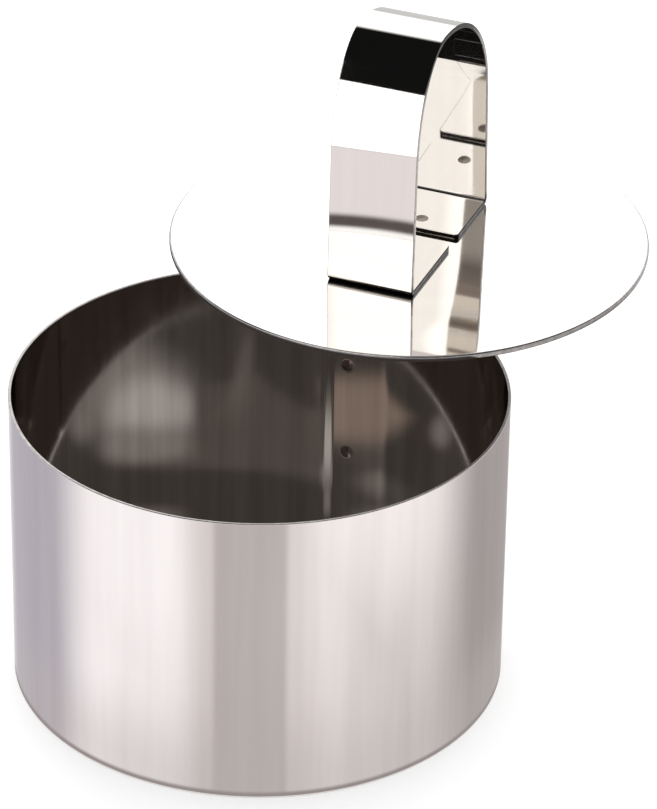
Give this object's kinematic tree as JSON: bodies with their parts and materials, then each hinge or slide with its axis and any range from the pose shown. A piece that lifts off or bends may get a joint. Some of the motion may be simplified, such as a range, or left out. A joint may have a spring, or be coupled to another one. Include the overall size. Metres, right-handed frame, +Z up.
{
  "type": "biscuit cutter",
  "caption": "Round sheet-steel cutting ring, open at both ends, with a lapped seam, and a loose flat disc pusher lifted by an upright bent strap handle.",
  "frame": {"origin": "centre of the ring's foot, on the surface that the ring stands on", "axes": "+Z up the ring's axis; the pusher is held above it, towards +X and +Y, and +Y points away from the picture's camera"},
  "size_m": [0.1031, 0.1063, 0.1047],
  "materials": {
    "ring_steel": "polished",
    "pusher_steel": "mirror polished",
    "weld_steel": "satin"
  },
  "bodies": {
    "ring": {"ring_band": "ring_steel", "seam_spot_welds": "weld_steel"},
    "pusher": {"pusher_disc": "pusher_steel", "handle_strap": "pusher_steel", "handle_spot_welds": "weld_steel"}
  },
  "joints": [
    {"name": "pusher_lift", "type": "slide", "parent": "ring", "child": "pusher", "axis": [0, 0, 1], "range_m": [-0.0118, 0.05]}
  ]
}
